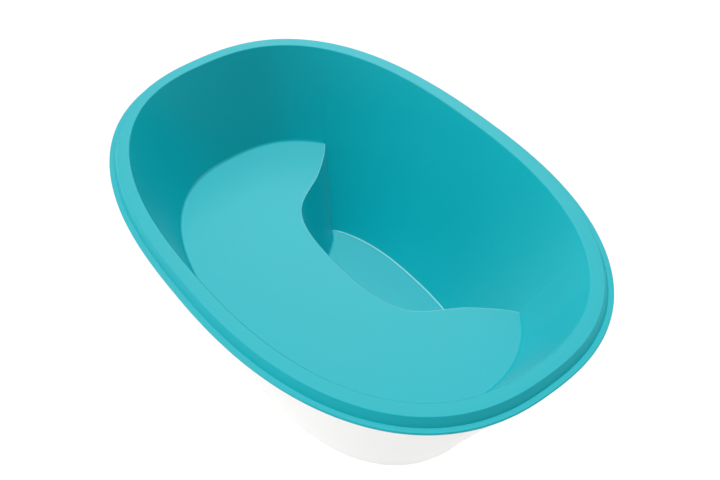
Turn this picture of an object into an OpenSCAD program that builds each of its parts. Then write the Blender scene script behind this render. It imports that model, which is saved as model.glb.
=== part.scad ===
// Baby bath: an oval basin with a stepped rim and a half-depth ledge, in a free-standing casing.
// X runs along the bath, -Y is the ledge side, and Z = 0 is the surface that the feet stand on.

/* [Rim] */
// Overall length across the rim flange
overall_l = 680; // [600:10:740]
// Overall width across the rim flange
overall_w = 450; // [400:10:490]
// Overall height from the feet to the top of the lip
overall_h = 274; // [268:1:300]
// Roundness of the oval: 2 is an ellipse, and higher is squarer
oval_power = 2.41; // [2.1:0.01:2.8]
// Width of the flat raised lip
lip_w = 15.5; // [12:0.5:20]
// Height of the step from the flange up to the lip
step_h = 10.8; // [8:0.2:14]
// How far the step spreads outward at its foot
step_draft = 4.9; // [2:0.1:6]
// Width of the flange outside the step
flange_w = 6.2; // [5:0.1:9]
// Rounding along the lip's and the flange's edges
edge_round = 1.4; // [0.6:0.1:1.5]

/* [Basin] */
// Inside depth from the top of the lip to the pocket's floor
basin_depth = 242; // [220:1:246]
// Depth of the ledge below the top of the lip
ledge_depth = 121.5; // [100:0.5:140]
// Ledge outline as a share of the rim's opening
ledge_scale = 0.81; // [0.76:0.01:0.85]
// Floor outline as a share of the rim's opening
floor_scale = 0.62; // [0.55:0.01:0.66]
// How far the ledge outline's centre lies toward the ledge side
ledge_shift = 6.8; // [0:0.2:10]
// How far the floor outline's centre lies toward the ledge side
floor_shift = 8; // [0:0.2:10]
// Wall thickness of the basin
basin_t = 3; // [2.4:0.1:3.5]
// Radius where the walls meet the ledge, and the ledge drops into the pocket
fold_r = 3; // [2:0.5:4]

/* [Ledge edge] */
// Angle on the oval where the edge meets the wall, from the +X end
corner_angle = 44; // [38:1:50]
// How far the arch reaches past the bath's middle, toward the ledge side
arch_reach = 11.2; // [5:0.1:20]
// Half-width of the arch's flat top
arch_flat = 121; // [100:1:130]
// Distance of the arch's steepest point from the middle, along the bath
flank_x = 147; // [140:1:155]
// Distance of the arch's steepest point from the middle, across the bath
flank_y = 63; // [55:1:70]
// Slope of the edge at its steepest point
flank_angle = 56; // [50:1:62]
// How gently the shoulder turns into the steepest point
shoulder_pull = 54; // [40:1:60]
// How quickly the edge flares away from the steepest point
flare_pull = 8; // [5:1:15]
// Slope of the edge where it meets the wall
corner_slope = 29; // [20:1:40]
// How gently the edge runs out into the wall
corner_pull = 18; // [10:1:25]

/* [Casing] */
// Wall thickness of the casing
casing_t = 3; // [2.5:0.1:3.5]
// Casing base outline as a share of its top edge
base_scale = 0.66; // [0.64:0.01:0.7]
// Gap between the flange's outer edge and the casing's wall
casing_inset = 5; // [4.5:0.1:6]
// Height of the casing's base above the standing surface
base_lift = 8; // [6:0.5:8]
// Thickness of the soft strip under the flange
seal_t = 1.5; // [1:0.1:2]

/* [Drain] */
// Drain position along the bath
drain_x = 90; // [80:1:95]
// Drain position across the bath
drain_y = 60; // [56:1:64]
// Bore of the drain outlet
drain_bore_d = 28; // [26:1:30]
// Outside diameter of the outlet spigot
spigot_d = 34; // [33:0.5:35]
// Outside diameter of the drain's flange
drain_flange_d = 44; // [42:0.5:46]
// Thickness of the drain's flange, let into the floor
drain_flange_t = 2.5; // [2:0.1:3]
// Height of the plug's finger tab
tab_h = 15; // [12:1:18]
// How thick the plug's head is
plug_head_t = 3.5; // [3:0.5:5]

/* [Supports] */
// Distance of the feet from the middle, along the bath
foot_x = 138; // [125:1:145]
// Distance of the feet from the middle, across the bath
foot_y = 80; // [74:1:84]
// Foot diameter
foot_d = 36; // [30:1:38]
// Distance of the posts from the middle, along the bath
post_x = 96; // [80:1:110]
// Distance of the posts from the middle, toward the ledge side
post_y = 70; // [62:1:78]
// Outside diameter of a post
post_d = 22; // [20:1:26]
// Distance of the floor bosses from the middle, along the bath
boss_x = 44; // [36:1:48]
// Distance of the floor bosses from the middle, away from the ledge
boss_y = 92; // [88:1:94]
// Outside diameter of a screw boss
boss_d = 13; // [12:1:16]
// Screw shank diameter
screw_d = 4; // [3.5:0.1:4.5]

/* [Hidden] */
$fn = 48;
fit_gap = 0.3;          // clearance between pieces that only pass each other
eps = 0.5;              // how far a cutter runs past the face that it opens
near_steps = 72;        // steps round the oval on the ledge side, from corner to corner
far_steps = 28;         // steps round the rest of it
steps = near_steps + far_steps;

// heights
lip_z = overall_h;
step_z = lip_z - step_h;
flange_under_z = step_z - basin_t;
ledge_z = lip_z - ledge_depth;
ledge_under_z = ledge_z - basin_t;
floor_z = lip_z - basin_depth;
floor_under_z = floor_z - basin_t;
base_top_z = base_lift + casing_t;
casing_top_z = flange_under_z - seal_t;

// offsets from the lip's outer edge, positive outward
flange_out = step_draft + flange_w;
casing_out = flange_out - casing_inset;
lip_a = overall_l / 2 - flange_out;
lip_b = overall_w / 2 - flange_out;

// the drain stack
drain_boss_t = 3;
drain_boss_h = 5;
gasket_t = 2;
recess_z = floor_z - drain_flange_t;
drain_boss_d = drain_flange_d + 2 * drain_boss_t;
drain_boss_z = floor_under_z - drain_boss_h;
gasket_z = drain_boss_z - gasket_t;
nut_t = 8;
nut_corner_d = 52;
nut_z = gasket_z - nut_t;
spigot_out = 4;
spigot_end_z = base_lift - spigot_out;
grommet_t = 3;
grommet_lip_w = 2.5;
grommet_lip_t = 1.6;
grommet_hole_d = spigot_d + 2 * grommet_t;
grommet_lip_d = grommet_hole_d + 2 * grommet_lip_w;

// the plug
plug_seal_t = 1.5;
plug_seal_inset = 4;
plug_overhang = 0.5;
plug_seal_d = drain_flange_d - 2 * plug_seal_inset;
plug_head_d = plug_seal_d + 2 * plug_overhang;
plug_stem_d = drain_bore_d - 2 * fit_gap;
plug_stem_l = 14;
plug_wall_t = 3;
plug_head_z = floor_z + plug_seal_t;
tab_w = 24;
tab_t = 5;
tab_hole_d = 8;
tab_hole_rise = 1;

// supports and screws
boss_root = 1;          // how far a boss is sunk into the wall that it stands on
post_wall_t = 4;
post_bore_d = post_d - 2 * post_wall_t;
post_foot_t = 14;
socket_h = 6;
socket_t = 3;
screw_grip = 10;
screw_tip_z = base_top_z + screw_grip;
screw_head_d = 8;
screw_head_h = 2.5;
foot_stem_d = 9;
foot_barb_d = 12;
foot_barb_h = 3;
foot_round = 2;
casing_round = 14;
round_steps = 4;        // steps in the casing's rounded bottom corner

function signed_power(v, e) = sign(v) * pow(abs(v), e);
function unit(v) = v / norm(v);
function mix(a, b, t) = a + (b - a) * t;
function cubic(p, t) = let (s = 1 - t)
    s * s * s * p[0] + 3 * s * s * t * p[1] + 3 * s * t * t * p[2] + t * t * t * p[3];

// the lip's outer edge at an angle, and its outward direction there
function oval_point(a) = [
    lip_a * signed_power(cos(a), 2 / oval_power),
    lip_b * signed_power(sin(a), 2 / oval_power),
];
function oval_normal(a) = unit([
    signed_power(cos(a), 2 - 2 / oval_power) / lip_a,
    signed_power(sin(a), 2 - 2 / oval_power) / lip_b,
]);

// station i: the ledge side runs from the -X corner at 0 to the +X corner at near_steps
function angle_at(i) = i < near_steps
    ? 180 - corner_angle + (180 + 2 * corner_angle) * i / near_steps
    : corner_angle + (180 - 2 * corner_angle) * (i - near_steps) / far_steps;
function on_ledge(i) = i > 0 && i < near_steps;
stations = [for (i = [0:steps - 1]) i];

// the oval moved outward by out, scaled, then shifted toward the ledge side
function oval(i, out, scale = 1, shift = 0) =
    scale * (oval_point(angle_at(i)) + out * oval_normal(angle_at(i))) - [0, shift];
// the basin's wall at a depth k, from 0 at the lip to 1 at the ledge, and moved outward by out
function wall(i, k, out) =
    oval(i, -lip_w, mix(1, ledge_scale, k), mix(0, ledge_shift, k)) + out * oval_normal(angle_at(i));

// the ledge's front edge, from the middle (u = 0) out to the wall (u = 1)
flank_u = 0.74;         // where the steepest point comes on that scale
edge_du = 0.01;         // half of the stretch that the edge's direction is measured over
corner_point = wall(near_steps, 1, 0);
flank_point = [flank_x, flank_y];
flank_dir = [cos(flank_angle), sin(flank_angle)];
corner_dir = [cos(corner_slope), sin(corner_slope)];
arch_curve = [
    [0, -arch_reach],
    [arch_flat, -arch_reach],
    flank_point - shoulder_pull * flank_dir,
    flank_point,
];
flare_curve = [
    flank_point,
    flank_point + flare_pull * flank_dir,
    corner_point - corner_pull * corner_dir,
    corner_point,
];
function half_edge(u) = u < flank_u
    ? cubic(arch_curve, u / flank_u)
    : cubic(flare_curve, (u - flank_u) / (1 - flank_u));
function edge(u) = let (p = half_edge(abs(u))) [sign(u) * p[0], p[1]];
function edge_u(i) = 2 * i / near_steps - 1;
// out of the pocket, at right angles to the edge
function edge_normal(u) = let (
        along = unit(edge(min(1, u + edge_du)) - edge(max(-1, u - edge_du)))
    ) [along[1], -along[0]];

// the pocket's outline at a depth k, from 0 at the ledge to 1 at the floor, and moved outward by out
function pocket(i, k, out) = let (
        top = on_ledge(i) ? edge(edge_u(i)) : wall(i, 1, 0),
        dir = on_ledge(i) ? edge_normal(edge_u(i)) : oval_normal(angle_at(i)),
        scale = mix(1, floor_scale / ledge_scale, k),
        centre = [0, -ledge_shift]
    ) (top - centre) * scale - [0, mix(ledge_shift, floor_shift, k)] + out * dir;
function pocket_k(z) = (ledge_z - z) / (ledge_z - floor_z);
function wall_k(z) = (lip_z - z) / ledge_depth;

// a point on the ledge, a short way in from the wall or from the pocket's edge
function ledge_span(i) = on_ledge(i) ? norm(wall(i, 1, 0) - pocket(i, 0, 0)) : 0;
function ledge_at(i, from_wall, from_edge) = let (
        span = ledge_span(i),
        inset = min(from_wall + from_edge, span / 3),
        dir = span > 0 ? (pocket(i, 0, 0) - wall(i, 1, 0)) / span : [0, 0]
    ) from_wall > 0 ? wall(i, 1, 0) + inset * dir : pocket(i, 0, 0) - inset * dir;

function at_z(flat, z) = [for (p = flat) [p[0], p[1], z]];
function rim_ring(out, z) = at_z([for (i = stations) oval(i, out)], z);
function wall_ring(out, z) = at_z([for (i = stations) wall(i, wall_k(z), out)], z);
function pocket_ring(out, z) = at_z([for (i = stations) pocket(i, pocket_k(z), out)], z);

// a skin through a list of rings, closed by a flat face across the first ring and the last one
function skin_sides(count) = [
    for (r = [0:count - 2], i = stations) let (j = (i + 1) % steps)
        each [
            [r * steps + i, r * steps + j, (r + 1) * steps + j],
            [r * steps + i, (r + 1) * steps + j, (r + 1) * steps + i],
        ],
];
// the far station that lies across the pocket from the ledge station i
function across(i) = let (f = i * far_steps / near_steps)
    i < near_steps / 2 ? floor(f) + 1 : i > near_steps / 2 ? ceil(f) - 1 : f;
function far_index(f) = f >= far_steps ? near_steps : (steps - f) % steps;
function cap(start, last) = [
    for (i = [0:near_steps - 1]) let (
            a = start + i,
            b = start + i + 1,
            c = start + far_index(across(i)),
            d = start + far_index(across(i + 1))
        )
        each [
            if (a != c && b != c) last ? [a, b, c] : [b, a, c],
            if (c != d && b != d) last ? [b, d, c] : [d, b, c],
        ],
];
module skin(rings) {
    polyhedron(
        points = [for (r = rings) each r],
        faces = concat(
            cap(0, false),
            skin_sides(len(rings)),
            cap((len(rings) - 1) * steps, true)
        ),
        convexity = 6
    );
}

module pipe(d, bore, z0, z1) {
    translate([0, 0, z0]) difference() {
        cylinder(d = d, h = z1 - z0);
        translate([0, 0, -eps]) cylinder(d = bore, h = z1 - z0 + 2 * eps);
    }
}
module rod(d, z0, z1) {
    translate([0, 0, z0]) cylinder(d = d, h = z1 - z0);
}
module at_drain() {
    translate([drain_x, drain_y, 0]) children();
}
module at_bosses() {
    for (side = [-1, 1]) translate([side * boss_x, boss_y, 0]) children();
}
module at_post(side) {
    translate([side * post_x, -post_y, 0]) children();
}

module basin_skin() {
    inner = [
        pocket_ring(-fold_r, floor_z),
        pocket_ring(0, floor_z + fold_r),
        pocket_ring(0, ledge_z - fold_r),
        at_z([for (i = stations) ledge_at(i, 0, fold_r)], ledge_z),
        at_z([for (i = stations) ledge_at(i, fold_r, 0)], ledge_z),
        wall_ring(0, ledge_z + fold_r),
        wall_ring(0, lip_z - edge_round),
        rim_ring(edge_round - lip_w, lip_z),
    ];
    rim = [
        rim_ring(-edge_round, lip_z),
        rim_ring(edge_round * step_draft / step_h, lip_z - edge_round),
        rim_ring(step_draft, step_z),
        rim_ring(flange_out - edge_round, step_z),
        rim_ring(flange_out, step_z - edge_round),
        rim_ring(flange_out, flange_under_z + edge_round / 2),
        rim_ring(flange_out - edge_round / 2, flange_under_z),
        rim_ring(step_draft - basin_t, flange_under_z),
        rim_ring(-basin_t, lip_z - basin_t),
    ];
    outer = [
        wall_ring(basin_t, lip_z - basin_t),
        at_z([for (i = stations) on_ledge(i)
            ? wall(i, wall_k(ledge_under_z), basin_t)
            : pocket(i, pocket_k(ledge_under_z), basin_t)], ledge_under_z),
        pocket_ring(basin_t, ledge_under_z),
        pocket_ring(basin_t, floor_under_z),
    ];
    skin(concat(inner, rim, outer));
}

module inner_basin() {
    color([0.33, 0.75, 0.79]) difference() {
        union() {
            basin_skin();
            at_drain() rod(drain_boss_d, drain_boss_z, floor_under_z + boss_root);
            at_bosses() rod(boss_d, base_top_z, floor_under_z + boss_root);
            for (side = [-1, 1]) at_post(side)
                pipe(post_d + 2 * socket_t, post_d, ledge_under_z - socket_h, ledge_under_z + boss_root);
        }
        at_drain() rod(drain_flange_d, recess_z, floor_z + eps);
        at_drain() rod(spigot_d, drain_boss_z - eps, floor_z + eps);
        at_bosses() rod(screw_d, base_top_z - eps, screw_tip_z);
    }
}

function casing_ring(scale, in, z) =
    at_z([for (i = stations) oval(i, casing_out, scale) - in * oval_normal(angle_at(i))], z);
function casing_scale(z) = mix(base_scale, 1, (z - base_lift) / (casing_top_z - base_lift));
// rounds the wall into the base: q runs from 0 on the base to 90 on the wall
function casing_turn(r, in, z0, q) = casing_ring(
    casing_scale(base_lift + casing_round),
    in + r * (1 - sin(q)),
    z0 + r * (1 - cos(q))
);
module casing_skin() {
    turn = [for (n = [0:round_steps]) 90 * n / round_steps];
    inner_r = casing_round - casing_t;
    skin(concat(
        [for (q = turn) casing_turn(inner_r, casing_t, base_top_z, q)],
        [
            casing_ring(1, casing_t, casing_top_z),
            casing_ring(1, 0, casing_top_z),
        ],
        [for (n = [0:round_steps]) casing_turn(casing_round, 0, base_lift, 90 - turn[n])]
    ));
}
module at_feet() {
    for (x = [-foot_x, foot_x], y = [-foot_y, foot_y]) translate([x, y, 0]) children();
}
module outer_casing() {
    color([0.93, 0.93, 0.92]) difference() {
        casing_skin();
        at_drain() rod(grommet_hole_d, base_lift - eps, base_top_z + eps);
        at_bosses() rod(screw_d, base_lift - eps, base_top_z + eps);
        for (side = [-1, 1]) at_post(side) rod(screw_d, base_lift - eps, base_top_z + eps);
        at_feet() rod(foot_stem_d, base_lift - eps, base_top_z + eps);
    }
}

// a strip that lies on the casing's top edge, under the flange
module rim_seal() {
    outline = [for (i = stations) oval(i, casing_out)];
    inside = [for (i = stations) oval(i, casing_out) - casing_t * oval_normal(angle_at(i))];
    color([0.55, 0.58, 0.6]) translate([0, 0, casing_top_z]) linear_extrude(seal_t) difference() {
        polygon(outline);
        polygon(inside);
    }
}

// a column under the ledge: solid at its foot for the screw, and hollow above it
module post() {
    color([0.93, 0.93, 0.92]) difference() {
        rod(post_d, base_top_z, ledge_under_z);
        rod(post_bore_d, base_top_z + post_foot_t, ledge_under_z + eps);
        rod(screw_d, base_top_z - eps, screw_tip_z);
    }
}
module post_left() { at_post(-1) post(); }
module post_right() { at_post(1) post(); }

module drain_body() {
    color([0.9, 0.91, 0.92]) at_drain() difference() {
        union() {
            rod(drain_flange_d, recess_z, floor_z);
            rod(spigot_d, spigot_end_z, floor_z);
        }
        rod(drain_bore_d, spigot_end_z - eps, floor_z + eps);
    }
}
module drain_gasket() {
    color([0.2, 0.2, 0.21]) at_drain() pipe(drain_flange_d, spigot_d, gasket_z, drain_boss_z);
}
// a six-sided nut
module drain_nut() {
    color([0.9, 0.91, 0.92]) at_drain() difference() {
        translate([0, 0, nut_z]) cylinder(d = nut_corner_d, h = nut_t, $fn = 6);
        rod(spigot_d, nut_z - eps, gasket_z + eps);
    }
}
module outlet_grommet() {
    color([0.2, 0.2, 0.21]) at_drain() difference() {
        union() {
            rod(grommet_hole_d, base_lift - grommet_lip_t, base_top_z + grommet_lip_t);
            rod(grommet_lip_d, base_lift - grommet_lip_t, base_lift);
            rod(grommet_lip_d, base_top_z, base_top_z + grommet_lip_t);
        }
        rod(spigot_d, base_lift - 2 * grommet_lip_t, base_top_z + 2 * grommet_lip_t);
    }
}

// a round-topped finger tab with a hole, standing on the plug's head
module plug_tab() {
    rotate([90, 0, 0]) translate([0, 0, -tab_t / 2]) linear_extrude(tab_t) difference() {
        union() {
            translate([0, tab_h - tab_w / 2]) circle(d = tab_w);
            translate([-tab_w / 2, -eps]) square([tab_w, tab_h - tab_w / 2 + eps]);
        }
        translate([0, tab_h - tab_w / 2 + tab_hole_rise]) circle(d = tab_hole_d);
    }
}
module drain_plug() {
    color([0.33, 0.75, 0.79]) at_drain() difference() {
        union() {
            rod(plug_head_d, plug_head_z, plug_head_z + plug_head_t);
            rod(plug_stem_d, floor_z - plug_stem_l, plug_head_z + eps);
            translate([0, 0, plug_head_z + plug_head_t]) plug_tab();
        }
        rod(plug_stem_d - 2 * plug_wall_t, floor_z - plug_stem_l - eps, floor_z - plug_wall_t);
    }
}
module plug_seal() {
    color([0.2, 0.2, 0.21]) at_drain() pipe(plug_seal_d, plug_stem_d, floor_z, plug_head_z);
}

// a soft foot: a rounded pad with a stem that snaps through the base
module foot() {
    color([0.35, 0.38, 0.4]) rotate_extrude() union() {
        square([foot_d / 2 - foot_round, base_lift]);
        translate([0, foot_round]) square([foot_d / 2, base_lift - foot_round]);
        translate([foot_d / 2 - foot_round, foot_round]) circle(r = foot_round);
        square([foot_stem_d / 2, base_top_z + foot_barb_h]);
        translate([0, base_top_z]) polygon([
            [0, 0],
            [foot_barb_d / 2, 0],
            [foot_stem_d / 2, foot_barb_h],
            [0, foot_barb_h],
        ]);
    }
}
module foot_front_left() { translate([-foot_x, -foot_y, 0]) foot(); }
module foot_front_right() { translate([foot_x, -foot_y, 0]) foot(); }
module foot_rear_left() { translate([-foot_x, foot_y, 0]) foot(); }
module foot_rear_right() { translate([foot_x, foot_y, 0]) foot(); }

module screw() {
    rod(screw_head_d, base_lift - screw_head_h, base_lift);
    rod(screw_d, base_lift - eps, screw_tip_z);
}
module base_screws() {
    color([0.75, 0.76, 0.78]) {
        at_bosses() screw();
        for (side = [-1, 1]) at_post(side) screw();
    }
}

inner_basin();
outer_casing();
rim_seal();
post_left();
post_right();
drain_body();
drain_gasket();
drain_nut();
outlet_grommet();
drain_plug();
plug_seal();
foot_front_left();
foot_front_right();
foot_rear_left();
foot_rear_right();
base_screws();
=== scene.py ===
"""An oval baby bath: a teal moulded basin in a white standing casing, with a lift-out plug."""

import math

import bmesh
import bpy
import numpy as np
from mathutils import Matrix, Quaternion, Vector


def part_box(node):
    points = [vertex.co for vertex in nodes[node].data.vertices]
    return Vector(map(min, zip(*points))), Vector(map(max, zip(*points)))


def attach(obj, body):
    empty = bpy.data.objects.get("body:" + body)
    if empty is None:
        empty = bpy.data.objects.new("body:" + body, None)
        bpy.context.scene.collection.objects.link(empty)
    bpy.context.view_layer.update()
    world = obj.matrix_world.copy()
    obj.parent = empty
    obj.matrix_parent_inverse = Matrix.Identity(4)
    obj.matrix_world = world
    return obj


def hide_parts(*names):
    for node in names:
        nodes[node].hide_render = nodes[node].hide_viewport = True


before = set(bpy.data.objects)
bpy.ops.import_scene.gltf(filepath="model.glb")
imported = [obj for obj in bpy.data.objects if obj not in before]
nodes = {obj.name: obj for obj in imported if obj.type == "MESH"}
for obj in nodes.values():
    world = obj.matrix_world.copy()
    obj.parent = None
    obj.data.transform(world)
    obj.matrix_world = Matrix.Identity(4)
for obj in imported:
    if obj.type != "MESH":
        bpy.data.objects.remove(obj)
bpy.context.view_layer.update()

MM = 0.001

# ---- sizes in metres: the frame gives the outer ones, and the rest follow the design ----
basin_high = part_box("inner_basin")[1]
casing_low, casing_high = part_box("outer_casing")
drain_low, drain_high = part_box("drain_body")
seal_low, seal_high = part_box("rim_seal")
washer_low, washer_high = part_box("plug_seal")
plug_low, plug_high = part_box("drain_plug")
foot_low, foot_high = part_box("foot_rear_left")

# the rim is a superellipse of this power
OVAL_POWER = 2.41
LIP_W, STEP_H, STEP_DRAFT, FLANGE_W = 15.5 * MM, 10.8 * MM, 4.9 * MM, 6.2 * MM
BASIN_DEPTH, LEDGE_DEPTH = 242 * MM, 121.5 * MM
LEDGE_SCALE, FLOOR_SCALE = 0.81, 0.62
LEDGE_SHIFT, FLOOR_SHIFT = 6.8 * MM, 8 * MM
WALL_T = 3 * MM
CASING_INSET, BASE_SCALE, CASING_ROUND = 5 * MM, 0.66, 14 * MM

LIP_Z = basin_high.z
STEP_Z = LIP_Z - STEP_H
FLANGE_Z = STEP_Z - WALL_T
LEDGE_Z = LIP_Z - LEDGE_DEPTH
LEDGE_UNDER_Z = LEDGE_Z - WALL_T
FLOOR_Z = LIP_Z - BASIN_DEPTH
FLOOR_UNDER_Z = FLOOR_Z - WALL_T
BASE_Z = casing_low.z
BASE_TOP_Z = BASE_Z + WALL_T
CASING_TOP_Z = casing_high.z
FLANGE_OUT = STEP_DRAFT + FLANGE_W
LIP_A = basin_high.x - FLANGE_OUT
LIP_B = basin_high.y - FLANGE_OUT

# the roundings of the basin's edges
FLOOR_ROUND, LEDGE_EDGE_ROUND, LEDGE_FOOT_ROUND = 5 * MM, 1.8 * MM, 5 * MM
LIP_INNER_ROUND, LIP_OUTER_ROUND, STEP_FOOT_ROUND = 1.5 * MM, 0.9 * MM, 0.5 * MM
FLANGE_TOP_ROUND, FLANGE_UNDER_ROUND, FLANGE_INNER_ROUND = 0.9 * MM, 0.7 * MM, 0.6 * MM
UNDERSIDE_ROUND = 0.8 * MM
# the floor's flat part lies inside the pocket's outline by this much at most, and by no more than
# this share of the way to a corner; it clears the drain's flange by this margin
FLOOR_INSET, CORNER_SHARE, DRAIN_MARGIN = 12 * MM, 0.4, 1 * MM

# the ledge's front edge in plan: an arch with a flat middle, up to the two FLANK points, and from
# there a flare to the corners at the far wall; the pulls are the lengths of the curves' handles
CORNER_ANGLE = math.radians(44)
ARCH_REACH, ARCH_FLAT = 11.2 * MM, 121 * MM
FLANK = np.array([147, 63]) * MM
FLANK_ANGLE, CORNER_SLOPE = math.radians(56), math.radians(29)
SHOULDER_PULL, FLARE_PULL, CORNER_PULL = 54 * MM, 8 * MM, 18 * MM
FLANK_U = 0.74

# the drain, the plug, the feet and the screws
DRAIN = (drain_low + drain_high) / 2
DRAIN_FLANGE_R = (drain_high.x - drain_low.x) / 2
SPIGOT_R = 17 * MM
RECESS_Z = FLOOR_Z - 2.5 * MM
DRAIN_BOSS_Z = FLOOR_UNDER_Z - 5 * MM
DRAIN_BOSS_R = DRAIN_FLANGE_R + 3 * MM
BOSSES = [(side * 44 * MM, 92 * MM) for side in (-1, 1)]
POSTS = [(side * 96 * MM, -70 * MM) for side in (-1, 1)]
FEET = {name: sum(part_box(name), Vector()) / 2 for name in nodes if name.startswith("foot_")}
FOOT_R = (foot_high.x - foot_low.x) / 2
BOSS_R, SCREW_R, STEM_R = 6.5 * MM, 2 * MM, 4.5 * MM
BARB_R, BARB_H = 6 * MM, 3 * MM
POST_R, SOCKET_R, SOCKET_H = 11 * MM, 14 * MM, 6 * MM
SCREW_HEAD_R, SCREW_HEAD_H = 4 * MM, 2.5 * MM
SCREW_TIP_Z = BASE_TOP_Z + 10 * MM
GROMMET_R, GROMMET_LIP_R, GROMMET_LIP_T = 20 * MM, 22.5 * MM, 1.6 * MM
DRAIN_BORE_R = 14 * MM
PLUG_SEAL_R = (washer_high.x - washer_low.x) / 2
PLUG_HEAD_Z = washer_high.z
PLUG_HEAD_R = PLUG_SEAL_R + 0.5 * MM
PLUG_HEAD_T = 3.5 * MM
PLUG_STEM_R = 13.7 * MM
PLUG_STEM_Z = plug_low.z
TAB_R, TAB_T, TAB_SINK = 12 * MM, 5 * MM, 0.5 * MM
TAB_HOLE_R, TAB_HOLE_RISE = 4 * MM, 1 * MM
TAB_TOP_Z = plug_high.z

# how many flat steps make up the arc of a rounding, and a full circle
ARC_STEPS, TURNED_ARC_STEPS, EDGE_ARC_STEPS, SMALL_ARC_STEPS, FOOT_ARC_STEPS = 6, 5, 4, 3, 10
CIRCLE_STEPS, TURNED_STEPS, HOLE_STEPS, SCREW_STEPS, BOSS_STEPS = 64, 96, 48, 48, 40

# ---- outlines: arrays with one row for each station round the oval ----
# the stations go from the ledge's left corner round the near side, then along the far wall
NEAR_STEPS, FAR_STEPS = 288, 112
STEPS = NEAR_STEPS + FAR_STEPS
STATION = np.arange(STEPS)
ON_LEDGE = (STATION > 0) & (STATION < NEAR_STEPS)
ANGLE = np.where(
    STATION < NEAR_STEPS,
    math.pi - CORNER_ANGLE + (math.pi + 2 * CORNER_ANGLE) * STATION / NEAR_STEPS,
    CORNER_ANGLE + (math.pi - 2 * CORNER_ANGLE) * (STATION - NEAR_STEPS) / FAR_STEPS,
)


def signed_power(v, e):
    """A power that keeps the sign of its base."""
    return np.sign(v) * np.abs(v) ** e


def unit(v):
    """Vectors scaled to length 1, along the last axis."""
    return v / np.maximum(np.linalg.norm(v, axis=-1, keepdims=True), 1e-12)


def mix(a, b, t):
    """The value a part t of the way from a to b."""
    return a + (b - a) * t


RIM = np.column_stack([
    LIP_A * signed_power(np.cos(ANGLE), 2 / OVAL_POWER),
    LIP_B * signed_power(np.sin(ANGLE), 2 / OVAL_POWER),
])
RIM_OUT = unit(np.column_stack([
    signed_power(np.cos(ANGLE), 2 - 2 / OVAL_POWER) / LIP_A,
    signed_power(np.sin(ANGLE), 2 - 2 / OVAL_POWER) / LIP_B,
]))


def oval(out, scale=1.0, shift=0.0):
    """The lip's outer edge moved outward, scaled, and shifted toward the ledge side."""
    return scale * (RIM + out * RIM_OUT) - np.array([0, shift])


def wall(k, out=0.0):
    """The basin's wall at a depth k, from 0 at the lip to 1 at the ledge."""
    return oval(-LIP_W, mix(1, LEDGE_SCALE, k), mix(0, LEDGE_SHIFT, k)) + out * RIM_OUT


def cubic(p, t):
    """Points on a cubic Bezier curve with four control points."""
    s = 1 - t
    return s**3 * p[0] + 3 * s * s * t * p[1] + 3 * s * t * t * p[2] + t**3 * p[3]


def ledge_edge(u):
    """The ledge's front edge, from the left corner at u = -1 to the right one at u = 1."""
    corner = wall(1)[NEAR_STEPS]
    flank_dir = np.array([math.cos(FLANK_ANGLE), math.sin(FLANK_ANGLE)])
    corner_dir = np.array([math.cos(CORNER_SLOPE), math.sin(CORNER_SLOPE)])
    arch = np.array([
        [0, -ARCH_REACH],
        [ARCH_FLAT, -ARCH_REACH],
        FLANK - SHOULDER_PULL * flank_dir,
        FLANK,
    ])
    flare = np.array([
        FLANK,
        FLANK + FLARE_PULL * flank_dir,
        corner - CORNER_PULL * corner_dir,
        corner,
    ])
    a = np.abs(u)[:, None]
    half = np.where(
        a < FLANK_U,
        cubic(arch, np.minimum(a / FLANK_U, 1)),
        cubic(flare, np.clip((a - FLANK_U) / (1 - FLANK_U), 0, 1)),
    )
    return half * np.column_stack([np.sign(u), np.ones_like(u)])


EDGE_U = np.clip(2 * STATION / NEAR_STEPS - 1, -1, 1)
# the edge's direction is taken between two points this far to either side
EDGE_STEP = 0.004
EDGE = ledge_edge(EDGE_U)
EDGE_ALONG = unit(
    ledge_edge(np.minimum(EDGE_U + EDGE_STEP, 1)) - ledge_edge(np.maximum(EDGE_U - EDGE_STEP, -1))
)
EDGE_OUT = np.column_stack([EDGE_ALONG[:, 1], -EDGE_ALONG[:, 0]])
POCKET_TOP = np.where(ON_LEDGE[:, None], EDGE, wall(1))
POCKET_OUT = np.where(ON_LEDGE[:, None], EDGE_OUT, RIM_OUT)


def pocket(k, out=0.0):
    """The pocket's outline at a depth k, from 0 at the ledge to 1 at the floor."""
    scale = mix(1, FLOOR_SCALE / LEDGE_SCALE, k)
    centred = POCKET_TOP + np.array([0, LEDGE_SHIFT])
    return centred * scale - np.array([0, mix(LEDGE_SHIFT, FLOOR_SHIFT, k)]) + out * POCKET_OUT


def at(flat, z):
    """A flat outline as a ring of points at one height."""
    return np.column_stack([flat, np.full(len(flat), z)])


def circle(centre, radius, z, steps=CIRCLE_STEPS):
    """A ring of points round an upright axis."""
    a = np.arange(steps) * 2 * math.pi / steps
    return np.column_stack([
        centre[0] + radius * np.cos(a),
        centre[1] + radius * np.sin(a),
        np.full(steps, z),
    ])


# ---- mesh building ----
def add_object(name, data):
    """Puts a new object in the scene: a mesh, a light or a camera."""
    thing = bpy.data.objects.new(name, data)
    bpy.context.scene.collection.objects.link(thing)
    return thing


SAME_HEIGHT, SAME_POINT, TINY_EDGE = 1e-6, 2e-6, 1e-7
SHARP_ANGLE = math.radians(42)
FLAT_FACE_WEIGHT = 80
# the part of a side that one rounding may take up
ROUNDING_ROOM = 0.45


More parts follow.
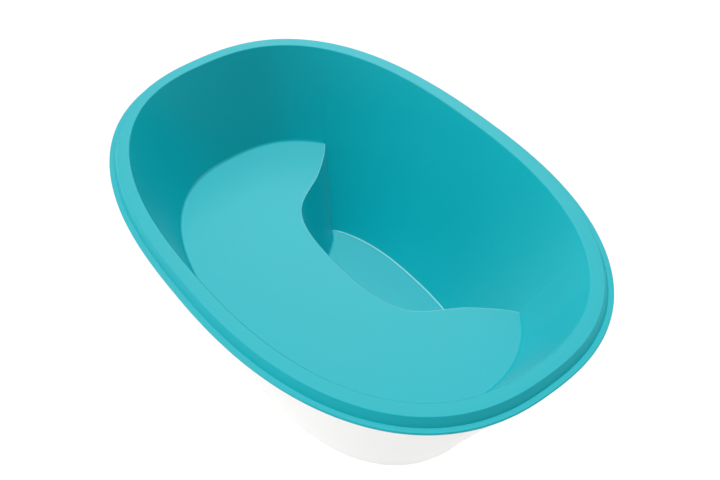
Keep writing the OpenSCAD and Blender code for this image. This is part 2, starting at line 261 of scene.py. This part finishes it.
def rounded(section, arc_steps=ARC_STEPS):
    """Rings through a list of (ring, radius) corners, each turned into an arc of its radius."""
    corners, radii = zip(*section)
    rings = [corners[0]]
    for before, corner, after, radius in zip(corners, corners[1:], corners[2:], radii[1:-1]):
        if radius <= 0:
            rings.append(corner)
            continue
        to_before, to_after = before - corner, after - corner
        length_before = np.linalg.norm(to_before, axis=1, keepdims=True)
        length_after = np.linalg.norm(to_after, axis=1, keepdims=True)
        a, b = unit(to_before), unit(to_after)
        turn = math.pi - np.arccos(np.clip((a * b).sum(1, keepdims=True), -1, 1))
        room = ROUNDING_ROOM * np.minimum(length_before, length_after)
        trim = np.minimum(radius * np.tan(turn / 2), room)
        handle = trim * 4 / 3 * np.tan(turn / 4) / np.maximum(np.tan(turn / 2), 1e-9)
        start, end = corner + trim * a, corner + trim * b
        arc = [start, start - handle * a, end - handle * b, end]
        rings += [cubic(arc, n / arc_steps) for n in range(arc_steps + 1)]
    return rings + [corners[-1]]


def arc_row(corner, part):
    """The row that lies a part of the way round the arc at a corner, with only arcs before it."""
    return 1 + (corner - 1) * (ARC_STEPS + 1) + round(part * ARC_STEPS)


def loft(bm, rings):
    """Joins rings of points into a tube, open at both ends, and returns its rows of vertices."""
    rows = [[bm.verts.new(p) for p in ring] for ring in rings]
    for low, high in zip(rows, rows[1:]):
        count = len(low)
        for i in range(count):
            j = (i + 1) % count
            bm.faces.new((low[i], low[j], high[j], high[i]))
    return rows


def closed_loft(bm, section, arc_steps):
    """Adds a ring that closes on itself, with its section given as (ring, radius) corners."""
    (first, _), (last, _) = section[0], section[-1]
    rings = rounded([(last, 0), *section, (first, 0)], arc_steps)[1:-1]
    loft(bm, rings + rings[:1])
    merge(bm)


def fill_at(bm, z):
    """Closes every open edge at a height with flat faces, leaving holes where loops nest."""
    edges = [
        e for e in bm.edges
        if e.is_boundary and all(abs(v.co.z - z) < SAME_HEIGHT for v in e.verts)
    ]
    bmesh.ops.triangle_fill(bm, edges=edges, use_beauty=True, normal=(0, 0, 1))


def merge(bm):
    """Joins points that coincide, and removes faces with no area."""
    bmesh.ops.remove_doubles(bm, verts=bm.verts, dist=SAME_POINT)
    bmesh.ops.dissolve_degenerate(bm, dist=TINY_EDGE, edges=bm.edges)


def finish_mesh(bm, name, material, body, stands_for=()):
    """Turns a mesh into a smooth-shaded piece that rides on a body and stands for CAD nodes."""
    bmesh.ops.recalc_face_normals(bm, faces=bm.faces)
    for face in bm.faces:
        face.smooth = True
    mesh = bpy.data.meshes.new(name)
    bm.to_mesh(mesh)
    bm.free()
    mesh.set_sharp_from_angle(angle=SHARP_ANGLE)
    mesh.materials.append(material)
    piece = add_object(name, mesh)
    weighted = piece.modifiers.new("flat faces stay flat", "WEIGHTED_NORMAL")
    weighted.mode, weighted.weight, weighted.keep_sharp = "FACE_AREA", FLAT_FACE_WEIGHT, True
    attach(piece, body)
    if stands_for:
        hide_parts(*stands_for)
    return piece


# ---- materials ----
FLOW_SCALE, FLOW_GLOSS = 9, 0.03
GRAIN_STRENGTH, SHEEN_ROUGHNESS = 0.35, 0.3


def new_material(name, roughness, specular=0.5):
    """A node material, with its node tree and its shader."""
    material = bpy.data.materials.new(name)
    material.use_nodes = True
    shader = material.node_tree.nodes["Principled BSDF"]
    shader.inputs["Roughness"].default_value = roughness
    shader.inputs["Specular IOR Level"].default_value = specular
    return material, material.node_tree, shader


def noise(tree, scale, detail=3.0):
    """Noise in the object's own space, at a scale in cycles per metre."""
    place = tree.nodes.new("ShaderNodeTexCoord")
    texture = tree.nodes.new("ShaderNodeTexNoise")
    texture.inputs["Scale"].default_value = scale
    texture.inputs["Detail"].default_value = detail
    tree.links.new(place.outputs["Object"], texture.inputs["Vector"])
    return texture


def ramp(tree, source, low, high, start=0.3, stop=0.7):
    """A two-colour ramp driven by a texture."""
    node = tree.nodes.new("ShaderNodeValToRGB")
    node.color_ramp.elements[0].position, node.color_ramp.elements[1].position = start, stop
    node.color_ramp.elements[0].color = (*low, 1)
    node.color_ramp.elements[1].color = (*high, 1)
    tree.links.new(source, node.inputs["Fac"])
    return node


def moulded(name, colour, spread, roughness, grain, grain_depth, specular=0.5, sheen=0.0):
    """Moulded plastic or rubber: a faint flow mottle in the colour, and a fine tool texture."""
    material, tree, shader = new_material(name, roughness, specular)
    shader.inputs["Sheen Weight"].default_value = sheen
    shader.inputs["Sheen Roughness"].default_value = SHEEN_ROUGHNESS
    flow = noise(tree, FLOW_SCALE, 2.0)
    low = tuple(c * (1 - spread) for c in colour)
    high = tuple(min(1, c * (1 + spread)) for c in colour)
    tint = ramp(tree, flow.outputs["Fac"], low, high)
    tree.links.new(tint.outputs["Color"], shader.inputs["Base Color"])
    fine = noise(tree, grain, 2.0)
    gloss = tree.nodes.new("ShaderNodeMapRange")
    gloss.inputs["To Min"].default_value = roughness - FLOW_GLOSS
    gloss.inputs["To Max"].default_value = roughness + FLOW_GLOSS
    tree.links.new(flow.outputs["Fac"], gloss.inputs["Value"])
    tree.links.new(gloss.outputs["Result"], shader.inputs["Roughness"])
    bump = tree.nodes.new("ShaderNodeBump")
    bump.inputs["Strength"].default_value = GRAIN_STRENGTH
    bump.inputs["Distance"].default_value = grain_depth
    tree.links.new(fine.outputs["Fac"], bump.inputs["Height"])
    tree.links.new(bump.outputs["Normal"], shader.inputs["Normal"])
    return material


TEAL = moulded(
    "teal_plastic", (0.001, 0.335, 0.385), 0.015, 0.36, 900, 0.02 * MM, specular=0.17, sheen=0.05
)
WHITE = moulded("white_plastic", (0.7, 0.7, 0.69), 0.01, 0.42, 700, 0.05 * MM)
PALE = moulded("pale_plastic", (0.72, 0.73, 0.74), 0.01, 0.38, 900, 0.03 * MM)
DARK_RUBBER = moulded("dark_rubber", (0.03, 0.03, 0.033), 0.08, 0.65, 1200, 0.06 * MM)
GREY_RUBBER = moulded("grey_rubber", (0.26, 0.29, 0.31), 0.05, 0.6, 1200, 0.06 * MM)


def brushed_steel():
    """Plain steel with a fine grain in its brightness."""
    material, tree, shader = new_material("screw_steel", 0.32)
    shader.inputs["Metallic"].default_value = 1.0
    grain = noise(tree, 1500, 4.0)
    tint = ramp(tree, grain.outputs["Fac"], (0.42, 0.43, 0.45), (0.62, 0.63, 0.65))
    tree.links.new(tint.outputs["Color"], shader.inputs["Base Color"])
    return material


STEEL = brushed_steel()


def paint_edge_highlights(material, colour):
    """Paints highlight lines into a material: a paler colour along edges that a mesh marks."""
    tree = material.node_tree
    base = tree.nodes["Principled BSDF"].inputs["Base Color"]
    mark = tree.nodes.new("ShaderNodeAttribute")
    mark.attribute_name = "painted_highlight"
    blend = tree.nodes.new("ShaderNodeMix")
    blend.data_type = "RGBA"
    blend.inputs["B"].default_value = (*colour, 1)
    tree.links.new(mark.outputs["Fac"], blend.inputs["Factor"])
    tree.links.new(base.links[0].from_socket, blend.inputs["A"])
    tree.links.new(blend.outputs["Result"], base)


# pale lines are painted along the basin's moulded edges as highlights, in place of the light their
# small roundings catch
paint_edge_highlights(TEAL, (0.45, 0.65, 0.68))


# ---- the basin ----
# how strongly the painted highlight lines show: on the ledge's edge in its middle and at its ends,
# and on the floor's
# PAINTED_LEDGE_HIGHLIGHT, PAINTED_LEDGE_END_HIGHLIGHT, PAINTED_FLOOR_HIGHLIGHT = 0.3, 1, 0.8
PAINTED_LEDGE_HIGHLIGHT, PAINTED_LEDGE_END_HIGHLIGHT, PAINTED_FLOOR_HIGHLIGHT = 0.3, 1, 0.8


def basin_section():
    """The moulding's corners, from the floor up the inside, over the rim and down the outside."""
    ledge_k = (LIP_Z - LEDGE_UNDER_Z) / LEDGE_DEPTH
    under_k = (LEDGE_Z - LEDGE_UNDER_Z) / (LEDGE_Z - FLOOR_Z)
    bottom_k = (LEDGE_Z - FLOOR_UNDER_Z) / (LEDGE_Z - FLOOR_Z)
    to_corner = np.minimum(
        np.linalg.norm(POCKET_TOP - POCKET_TOP[0], axis=1),
        np.linalg.norm(POCKET_TOP - POCKET_TOP[NEAR_STEPS], axis=1),
    )
    to_drain = np.linalg.norm(pocket(1) - np.array(DRAIN.xy), axis=1) - DRAIN_FLANGE_R
    floor_room = np.minimum(CORNER_SHARE * to_corner, to_drain - DRAIN_MARGIN)
    floor_inset = np.minimum(FLOOR_INSET, floor_room)[:, None]
    lip_under_k = WALL_T / LEDGE_DEPTH
    under_wall = np.where(ON_LEDGE[:, None], wall(ledge_k, WALL_T), pocket(under_k, WALL_T))
    return [
        (at(pocket(1, -floor_inset), FLOOR_Z), 0),
        (at(pocket(1), FLOOR_Z), FLOOR_ROUND),
        (at(pocket(0), LEDGE_Z), LEDGE_EDGE_ROUND),
        (at(wall(1), LEDGE_Z), LEDGE_FOOT_ROUND),
        (at(oval(-LIP_W), LIP_Z), LIP_INNER_ROUND),
        (at(oval(0), LIP_Z), LIP_OUTER_ROUND),
        (at(oval(STEP_DRAFT), STEP_Z), STEP_FOOT_ROUND),
        (at(oval(FLANGE_OUT), STEP_Z), FLANGE_TOP_ROUND),
        (at(oval(FLANGE_OUT), FLANGE_Z), FLANGE_UNDER_ROUND),
        (at(oval(STEP_DRAFT - WALL_T), FLANGE_Z), FLANGE_INNER_ROUND),
        (at(oval(-WALL_T), LIP_Z - WALL_T), UNDERSIDE_ROUND),
        (at(wall(lip_under_k, WALL_T), LIP_Z - WALL_T), UNDERSIDE_ROUND),
        (at(under_wall, LEDGE_UNDER_Z), 0),
        (at(pocket(under_k, WALL_T), LEDGE_UNDER_Z), 0),
        (at(pocket(bottom_k, WALL_T), FLOOR_UNDER_Z), 0),
    ]


def add_bosses(bm):
    """The bosses for the drain and the screws, and the sockets for the posts, with open ends."""
    centre = (DRAIN.x, DRAIN.y)
    drain = [
        (circle(centre, DRAIN_FLANGE_R, FLOOR_Z), 0),
        (circle(centre, DRAIN_FLANGE_R, RECESS_Z), 0.4 * MM),
        (circle(centre, SPIGOT_R, RECESS_Z), 0.2 * MM),
        (circle(centre, SPIGOT_R, DRAIN_BOSS_Z), 0.2 * MM),
        (circle(centre, DRAIN_BOSS_R, DRAIN_BOSS_Z), 0.8 * MM),
        (circle(centre, DRAIN_BOSS_R, FLOOR_UNDER_Z), 0),
    ]
    loft(bm, rounded(drain, EDGE_ARC_STEPS))
    for spot in BOSSES:
        boss = [
            (circle(spot, BOSS_R, FLOOR_UNDER_Z, BOSS_STEPS), 0),
            (circle(spot, BOSS_R, BASE_TOP_Z, BOSS_STEPS), 0.5 * MM),
            (circle(spot, SCREW_R, BASE_TOP_Z, BOSS_STEPS), 0.2 * MM),
            (circle(spot, SCREW_R, SCREW_TIP_Z, BOSS_STEPS), 0),
        ]
        loft(bm, rounded(boss, SMALL_ARC_STEPS))
    for spot in POSTS:
        socket = [
            (circle(spot, SOCKET_R, LEDGE_UNDER_Z), 0),
            (circle(spot, SOCKET_R, LEDGE_UNDER_Z - SOCKET_H), 0.5 * MM),
            (circle(spot, POST_R, LEDGE_UNDER_Z - SOCKET_H), 0.5 * MM),
            (circle(spot, POST_R, LEDGE_UNDER_Z), 0),
        ]
        loft(bm, rounded(socket, SMALL_ARC_STEPS))


def make_basin():
    """The whole moulding, with its edges marked for painted highlight lines, and its flat faces
    filled round the holes.
    """
    bm = bmesh.new()
    # each vertex holds how strongly a painted highlight line shows on it: along the ledge's front
    # edge, and along the floor's foot of the far wall
    painted_highlight = bm.verts.layers.float.new("painted_highlight")
    rows = loft(bm, rounded(basin_section()))
    floor_row, ledge_row = rows[arc_row(1, 1 / 2)], rows[arc_row(2, 5 / 6)]
    for floor_vert, ledge_vert, u in zip(floor_row, ledge_row, EDGE_U):
        if abs(u) < 1:
            ledge_vert[painted_highlight] = mix(PAINTED_LEDGE_HIGHLIGHT, PAINTED_LEDGE_END_HIGHLIGHT, abs(u))
        else:
            floor_vert[painted_highlight] = PAINTED_FLOOR_HIGHLIGHT
    merge(bm)
    # the flat underside of the ledge is filled anew below, with holes for the posts' sockets
    under = [
        f for f in bm.faces
        if all(abs(v.co.z - LEDGE_UNDER_Z) < SAME_HEIGHT for v in f.verts)
    ]
    bmesh.ops.delete(bm, geom=under, context="FACES")
    add_bosses(bm)
    for z in (FLOOR_Z, LEDGE_UNDER_Z, FLOOR_UNDER_Z, SCREW_TIP_Z):
        fill_at(bm, z)
    finish_mesh(bm, "basin", TEAL, "bath", ["inner_basin"])


# ---- the casing ----
def make_casing():
    """The outer shell: tapered sides, a round foot, and a flat base with its holes."""
    outer_out = FLANGE_OUT - CASING_INSET
    foot_scale = mix(BASE_SCALE, 1, CASING_ROUND / (CASING_TOP_Z - BASE_Z))

    def side(scale, inward, z):
        """A ring round the shell, this far inward of its outer skin."""
        return at(oval(outer_out, scale) - inward * RIM_OUT, z)

    def turn(radius, inward, z):
        """Rings along the curve from the flat base up to the side."""
        for n in range(FOOT_ARC_STEPS + 1):
            q = math.pi / 2 * n / FOOT_ARC_STEPS
            inset, rise = radius * (1 - math.sin(q)), radius * (1 - math.cos(q))
            yield side(foot_scale, inward + inset, z + rise)

    inner = list(turn(CASING_ROUND - WALL_T, WALL_T, BASE_TOP_Z))
    outer = list(turn(CASING_ROUND, 0, BASE_Z))[::-1]
    edge = [
        (inner[-1], 0),
        (side(1, WALL_T, CASING_TOP_Z), 0.8 * MM),
        (side(1, 0, CASING_TOP_Z), 0.8 * MM),
        (outer[0], 0),
    ]
    bm = bmesh.new()
    loft(bm, inner[:-1] + rounded(edge, EDGE_ARC_STEPS) + outer[1:])
    merge(bm)
    holes = [((DRAIN.x, DRAIN.y), GROMMET_R)]
    holes += [(spot, SCREW_R) for spot in BOSSES + POSTS]
    holes += [((foot.x, foot.y), STEM_R) for foot in FEET.values()]
    for spot, radius in holes:
        loft(bm, [circle(spot, radius, z, HOLE_STEPS) for z in (BASE_TOP_Z, BASE_Z)])
    for z in (BASE_TOP_Z, BASE_Z):
        fill_at(bm, z)
    finish_mesh(bm, "casing", WHITE, "bath", ["outer_casing"])


# ---- turned pieces ----
def turned(bm, centre, profile):
    """Adds a closed ring, with its section given as (radius, height, rounding) corners."""
    section = [(circle(centre, r, z, TURNED_STEPS), rounding) for r, z, rounding in profile]
    closed_loft(bm, section, TURNED_ARC_STEPS)


def turned_solid(bm, centre, profile, steps=TURNED_STEPS):
    """Adds a solid of revolution, with its profile starting and ending on the axis."""
    section = [(circle(centre, max(r, 1e-9), z, steps), rounding) for r, z, rounding in profile]
    loft(bm, rounded(section, TURNED_ARC_STEPS))
    merge(bm)


def make_rim_seal():
    """The soft strip between the flange and the casing's top edge."""
    low, high = seal_low.z, seal_high.z
    outer = FLANGE_OUT - CASING_INSET
    section = [
        (at(oval(outer) - WALL_T * RIM_OUT, low), 0.4 * MM),
        (at(oval(outer) - WALL_T * RIM_OUT, high), 0.2 * MM),
        (at(oval(outer), high), 0.2 * MM),
        (at(oval(outer), low), 0.4 * MM),
    ]
    bm = bmesh.new()
    closed_loft(bm, section, SMALL_ARC_STEPS)
    finish_mesh(bm, "rim_strip", GREY_RUBBER, "bath", ["rim_seal"])


def make_drain():
    """The outlet: a flange let into the floor, with a bevelled mouth, and its spigot."""
    bm = bmesh.new()
    turned(bm, (DRAIN.x, DRAIN.y), [
        (DRAIN_BORE_R, drain_low.z, 0.6 * MM),
        (DRAIN_BORE_R, FLOOR_Z, 1.2 * MM),
        (DRAIN_FLANGE_R, FLOOR_Z, 0.6 * MM),
        (DRAIN_FLANGE_R, RECESS_Z, 0.2 * MM),
        (SPIGOT_R, RECESS_Z, 0.2 * MM),
        (SPIGOT_R, drain_low.z, 0.8 * MM),
    ])
    finish_mesh(bm, "drain", PALE, "bath", ["drain_body"])


def make_grommet():
    """The rubber ring round the outlet, with a lip on each side of the base."""
    low, high = BASE_Z - GROMMET_LIP_T, BASE_TOP_Z + GROMMET_LIP_T
    bm = bmesh.new()
    turned(bm, (DRAIN.x, DRAIN.y), [
        (SPIGOT_R, low, 0.5 * MM),
        (SPIGOT_R, high, 0.5 * MM),
        (GROMMET_LIP_R, high, 0.8 * MM),
        (GROMMET_LIP_R, BASE_TOP_Z, 0.1 * MM),
        (GROMMET_R, BASE_TOP_Z, 0),
        (GROMMET_R, BASE_Z, 0),
        (GROMMET_LIP_R, BASE_Z, 0.1 * MM),
        (GROMMET_LIP_R, low, 0.8 * MM),
    ])
    finish_mesh(bm, "grommet", DARK_RUBBER, "bath", ["outlet_grommet"])


def make_plug():
    """The plug's domed head and hollow stem, and the finger tab that stands on it."""
    head_top = PLUG_HEAD_Z + PLUG_HEAD_T
    hollow_r, hollow_z = PLUG_STEM_R - WALL_T, FLOOR_Z - WALL_T
    bm = bmesh.new()
    turned_solid(bm, (DRAIN.x, DRAIN.y), [
        (0, hollow_z, 0),
        (hollow_r, hollow_z, 1.0 * MM),
        (hollow_r, PLUG_STEM_Z, 0.8 * MM),
        (PLUG_STEM_R, PLUG_STEM_Z, 1.2 * MM),
        (PLUG_STEM_R, PLUG_HEAD_Z, 0.2 * MM),
        (PLUG_HEAD_R, PLUG_HEAD_Z, 0.4 * MM),
        (PLUG_HEAD_R, head_top, 1.6 * MM),
        (0, head_top, 0),
    ])
    finish_mesh(bm, "plug", TEAL, "plug", ["drain_plug"])

    # the tab's outline is round above its centre and square below, where it sinks into the head
    angle = np.arange(TURNED_STEPS) * 2 * math.pi / TURNED_STEPS
    c, s = np.cos(angle), np.sin(angle)
    centre_z = TAB_TOP_Z - TAB_R
    below = centre_z - head_top + TAB_SINK
    square = np.minimum(TAB_R / np.maximum(abs(c), 1e-6), below / np.maximum(-s, 1e-6))
    reach = np.where(s >= 0, TAB_R, square)

    def outline(r, y, rise=0.0):
        """A ring round the tab or its hole, this far across the tab's thickness."""
        x, z = DRAIN.x + r * c, centre_z + r * s + rise
        return np.column_stack([x, np.full(TURNED_STEPS, DRAIN.y + y), z])

    half = TAB_T / 2
    section = [
        (outline(reach, -half), 1.2 * MM),
        (outline(reach, half), 1.2 * MM),
        (outline(TAB_HOLE_R, half, TAB_HOLE_RISE), 0.8 * MM),
        (outline(TAB_HOLE_R, -half, TAB_HOLE_RISE), 0.8 * MM),
    ]
    bm = bmesh.new()
    closed_loft(bm, section, TURNED_ARC_STEPS)
    finish_mesh(bm, "plug_tab", TEAL, "plug")


def make_plug_seal():
    """The flat rubber washer under the plug's head."""
    bm = bmesh.new()
    turned(bm, (DRAIN.x, DRAIN.y), [
        (PLUG_STEM_R, FLOOR_Z, 0.2 * MM),
        (PLUG_STEM_R, PLUG_HEAD_Z, 0.2 * MM),
        (PLUG_SEAL_R, PLUG_HEAD_Z, 0.5 * MM),
        (PLUG_SEAL_R, FLOOR_Z, 0.5 * MM),
    ])
    finish_mesh(bm, "plug_washer", DARK_RUBBER, "plug", ["plug_seal"])


def make_foot(name, centre):
    """A soft foot with a grooved sole, and the barbed stem that holds it in the base."""
    grooves, pitch, width, depth = 3, 4.5 * MM, 2 * MM, 1 * MM
    bm = bmesh.new()
    sole = [(0, 0, 0)]
    for n in range(1, grooves + 1):
        r = n * pitch
        sole += [
            (r, 0, 0.3 * MM),
            (r, depth, 0.2 * MM),
            (r + width, depth, 0.2 * MM),
            (r + width, 0, 0.3 * MM),
        ]
    turned_solid(bm, (centre.x, centre.y), sole + [
        (FOOT_R, 0, 2.0 * MM),
        (FOOT_R, BASE_Z, 0.8 * MM),
        (STEM_R, BASE_Z, 0.1 * MM),
        (STEM_R, BASE_TOP_Z, 0.1 * MM),
        (BARB_R, BASE_TOP_Z, 0.3 * MM),
        (STEM_R, BASE_TOP_Z + BARB_H, 0.6 * MM),
        (0, BASE_TOP_Z + BARB_H, 0),
    ])
    finish_mesh(bm, name + "_pad", GREY_RUBBER, "bath", [name])


def cross_cutter(centre):
    """A plus-shaped block that sinks a screwdriver's cross into a screw head from below."""
    arm, half, depth, below = 2.4 * MM, 0.45 * MM, 1.4 * MM, 1 * MM
    low = BASE_Z - SCREW_HEAD_H
    flat = [
        (arm, half), (half, half), (half, arm), (-half, arm), (-half, half), (-arm, half),
        (-arm, -half), (-half, -half), (-half, -arm), (half, -arm), (half, -half), (arm, -half),
    ]
    bm = bmesh.new()
    rings = [
        np.array([(centre[0] + x, centre[1] + y, z) for x, y in flat])
        for z in (low - below, low + depth)
    ]
    loft(bm, rings)
    for z in (low - below, low + depth):
        fill_at(bm, z)
    bmesh.ops.recalc_face_normals(bm, faces=bm.faces)
    mesh = bpy.data.meshes.new("cross_cutter")
    bm.to_mesh(mesh)
    bm.free()
    return add_object("cross_cutter", mesh)


def make_screw(centre, number):
    """A pan-head screw, driven up through the casing's base."""
    low = BASE_Z - SCREW_HEAD_H
    bm = bmesh.new()
    turned_solid(bm, centre, [
        (0, low, 0),
        (SCREW_HEAD_R, low, 1.1 * MM),
        (SCREW_HEAD_R, BASE_Z, 0.2 * MM),
        (SCREW_R, BASE_Z, 0.1 * MM),
        (SCREW_R, SCREW_TIP_Z, 0.6 * MM),
        (0, SCREW_TIP_Z, 0),
    ], SCREW_STEPS)
    # the four screws share one CAD node, and the first of them replaces it
    stands_for = ["base_screws"] if number == 0 else ()
    screw = finish_mesh(bm, f"screw_{number + 1}", STEEL, "bath", stands_for)
    cutter = cross_cutter(centre)
    cut = screw.modifiers.new("cross recess", "BOOLEAN")
    cut.object, cut.solver = cutter, "EXACT"
    shaped = screw.evaluated_get(bpy.context.evaluated_depsgraph_get())
    screw_mesh = bpy.data.meshes.new_from_object(shaped)
    screw.modifiers.remove(cut)
    screw.data = screw_mesh
    bpy.data.objects.remove(cutter)


make_basin()
make_casing()
make_rim_seal()
make_drain()
make_grommet()
make_plug()
make_plug_seal()
for foot_name, foot_centre in FEET.items():
    make_foot(foot_name, foot_centre)
for screw_number, screw_place in enumerate(BOSSES + POSTS):
    make_screw(screw_place, screw_number)

# CAD pieces hidden inside, which keep their shapes
KEPT = {"post_left": WHITE, "post_right": WHITE, "drain_gasket": DARK_RUBBER, "drain_nut": PALE}
for kept_name, kept_material in KEPT.items():
    nodes[kept_name].data.materials.clear()
    nodes[kept_name].data.materials.append(kept_material)


# ---- camera ----
CAMERA_AZIMUTH, CAMERA_ELEVATION = math.radians(54.14), math.radians(46.88)
CAMERA_DISTANCE = 0.9896
CAMERA_ROLL = math.radians(-2.28)
CAMERA_LENS, SENSOR_WIDTH = 45.31, 36
AIM = Vector((0.0762, -0.0314, LIP_Z))


def toward(azimuth, elevation):
    """The direction of a view or a light; azimuth 0 is the -Y side, a quarter turn the +X end."""
    flat = math.cos(elevation)
    return Vector((math.sin(azimuth) * flat, -math.cos(azimuth) * flat, math.sin(elevation)))


def make_camera():
    """The camera of the main view, which looks into the bath as the photo does."""
    back = toward(CAMERA_AZIMUTH, CAMERA_ELEVATION)
    camera = add_object("camera", bpy.data.cameras.new("camera"))
    camera.data.lens, camera.data.sensor_width = CAMERA_LENS, SENSOR_WIDTH
    camera.rotation_mode = "QUATERNION"
    camera.location = AIM + CAMERA_DISTANCE * back
    look = (-back).to_track_quat("-Z", "Y")
    camera.rotation_quaternion = look @ Quaternion((0, 0, 1), CAMERA_ROLL)
    bpy.context.scene.camera = camera


make_camera()


# ---- floor and light ----
FLOOR_HALF, FLOOR_GREY = 60, 0.57
SKY_HORIZON, SKY_ABOVE, SKY_TURN = 1.0, 0.22, 0.4

# name, azimuth, elevation, spread in degrees, strength, and whether it lights by diffusion too
SOFTBOXES = [
    ("key", 324, 36, 40, 2.95, True),
    ("fill", 144, 43, 40, 1.2, True),
    ("top", 144, 70, 60, 0.5, True),
    ("back", 234, 46, 32, 0.8, True),
    ("bounce", 54, -60, 60, 0.8, True),
    ("gloss", 234, 47, 40, 1.1, False),
    ("haze", 270, -34, 42, 1.5, False),
]
FLOOR_LIGHT = ("floor_light", 54, 58, 25, 1.6)


def make_floor():
    """A pale floor that reaches past every view's horizon."""
    mesh = bpy.data.meshes.new("floor")
    square = ((-1, -1), (1, -1), (1, 1), (-1, 1))
    mesh.from_pydata([(x * FLOOR_HALF, y * FLOOR_HALF, 0) for x, y in square], [], [(0, 1, 2, 3)])
    floor = add_object("floor", mesh)
    material, _, shader = new_material("pale_floor", 0.7, 0.2)
    shader.inputs["Base Color"].default_value = (FLOOR_GREY, FLOOR_GREY, FLOOR_GREY, 1)
    mesh.materials.append(material)
    return floor


def softbox(name, azimuth, elevation, spread, strength):
    """A broad, shadowless light from far off, with its angles in degrees."""
    light = bpy.data.lights.new(name, "SUN")
    light.energy, light.angle, light.use_shadow = strength, math.radians(spread), False
    lamp = add_object(name, light)
    source = toward(math.radians(azimuth), math.radians(elevation))
    lamp.rotation_mode = "QUATERNION"
    lamp.rotation_quaternion = (-source).to_track_quat("-Z", "Y")
    return lamp


def make_sky():
    """A white room: as bright as the floor at the horizon, and dimmer above."""
    world = bpy.data.worlds.new("studio")
    world.use_nodes = True
    tree = world.node_tree
    direction = tree.nodes.new("ShaderNodeTexCoord")
    split = tree.nodes.new("ShaderNodeSeparateXYZ")
    tree.links.new(direction.outputs["Generated"], split.inputs["Vector"])
    shade = ramp(tree, split.outputs["Z"], (SKY_HORIZON,) * 3, (SKY_ABOVE,) * 3, 0.0, SKY_TURN)
    tree.links.new(shade.outputs["Color"], tree.nodes["Background"].inputs["Color"])
    bpy.context.scene.world = world


floor = make_floor()
make_sky()
for *softbox_values, diffuse in SOFTBOXES:
    softbox(*softbox_values).visible_diffuse = diffuse

# one more light falls on the floor alone, to seat the bath on it with a soft shadow
floor_light = softbox(*FLOOR_LIGHT)
floor_light.data.use_shadow = True
lit = bpy.data.collections.new("lit_by_floor_light")
lit.objects.link(floor)
floor_light.light_linking.receiver_collection = lit
bpy.context.scene.view_settings.view_transform = "Standard"
